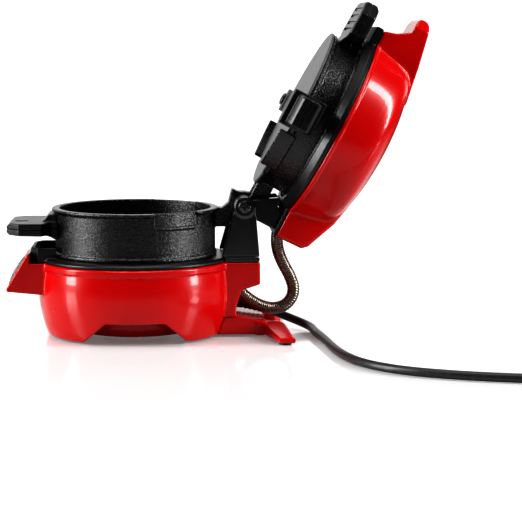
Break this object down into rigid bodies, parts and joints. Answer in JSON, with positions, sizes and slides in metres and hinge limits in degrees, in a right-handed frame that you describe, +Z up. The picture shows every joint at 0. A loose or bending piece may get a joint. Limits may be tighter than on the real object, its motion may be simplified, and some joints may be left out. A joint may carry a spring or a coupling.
{
  "type": "breakfast sandwich maker",
  "caption": "Small round countertop sandwich cooker standing open: glossy base, cooking ring, hinged upper ring with swing-out plate, domed lid, and a coiled mains lead.",
  "frame": {"origin": "centre of the underside of the appliance's own box, without the mains lead, on the surface it stands on", "axes": "+X from the handles towards the hinge and the mains lead, +Y towards the plate's pivot, away from the plate's handle, +Z up"},
  "size_m": [0.4067, 0.2796, 0.2205],
  "materials": {
    "red_plastic": "high gloss moulded",
    "cast_black": "satin non-stick coating with a fine speckle",
    "hammered_black": "hammered non-stick coating",
    "grip_black": "satin moulded",
    "gloss_black": "polished moulded",
    "panel_grey": "dark grey moulded",
    "steel": "bright",
    "conduit_steel": "bronze-toned wound strip",
    "aluminium": "mill finish",
    "ceramic": "unglazed",
    "rubber": "matt",
    "cord": "smooth sheath",
    "red_lens": "tinted",
    "green_lens": "tinted",
    "brass": "bright"
  },
  "bodies": {
    "base": {"base_shell": "red_plastic", "bottom_cover": "red_plastic", "rear_foot": "red_plastic", "lower_bezel": "cast_black", "lower_heating_plate": "cast_black", "lower_ring": "hammered_black", "lower_ring_handle": "grip_black", "hinge_bracket": "gloss_black", "hinge_post_near": "gloss_black", "hinge_post_far": "gloss_black", "control_panel": "panel_grey", "hinge_pin": "steel", "hinge_screw_near": "gloss_black", "hinge_screw_far": "gloss_black", "lower_heating_element": "steel", "lower_reflector": "aluminium", "thermostat": "ceramic", "thermal_fuse": "ceramic", "terminal_block": "ceramic", "power_lamp_lens": "red_lens", "preheat_lamp_lens": "green_lens", "conduit": "conduit_steel", "conduit_gland_base": "conduit_steel", "strain_relief": "rubber", "power_cord": "cord", "power_cord_tail": "cord", "cord_coil": "cord", "plug_body": "rubber", "plug_blade_1": "brass", "plug_blade_2": "brass", "rear_foot_pad_near": "rubber", "rear_foot_pad_far": "rubber", "foot_pad_1": "rubber", "foot_pad_2": "rubber", "foot_pad_3": "rubber", "foot_pad_4": "rubber"},
    "lid": {"lid_shell": "red_plastic", "lid_bezel": "cast_black", "lid_arm_near": "gloss_black", "lid_arm_far": "gloss_black", "upper_heating_plate": "cast_black", "upper_heating_element": "steel", "upper_reflector": "aluminium"},
    "upper_ring": {"upper_ring": "hammered_black", "upper_ring_handle": "grip_black", "plate_pivot_pin": "gloss_black", "plate_pivot_nut": "gloss_black"},
    "cooking_plate": {"cooking_plate": "cast_black", "plate_handle": "grip_black"}
  },
  "joints": [
    {"name": "lid_hinge", "type": "hinge", "parent": "base", "child": "lid", "pos_m": [0.01739, 0.0046, 0.0865], "axis": [0, 1, 0], "range_deg": [-118, 0], "deforming": ["conduit"]},
    {"name": "upper_ring_hinge", "type": "hinge", "parent": "base", "child": "upper_ring", "pos_m": [0.01739, 0.0046, 0.0865], "axis": [0, 1, 0], "range_deg": [-118, 0]},
    {"name": "plate_swing", "type": "hinge", "parent": "upper_ring", "child": "cooking_plate", "pos_m": [0.05223, 0.0706, 0.15201], "axis": [-0.8829, 0, 0.4695], "range_deg": [0, 100]}
  ],
  "couplings": [
    {"joint": "upper_ring_hinge", "follows": "lid_hinge", "ratio": 1}
  ]
}
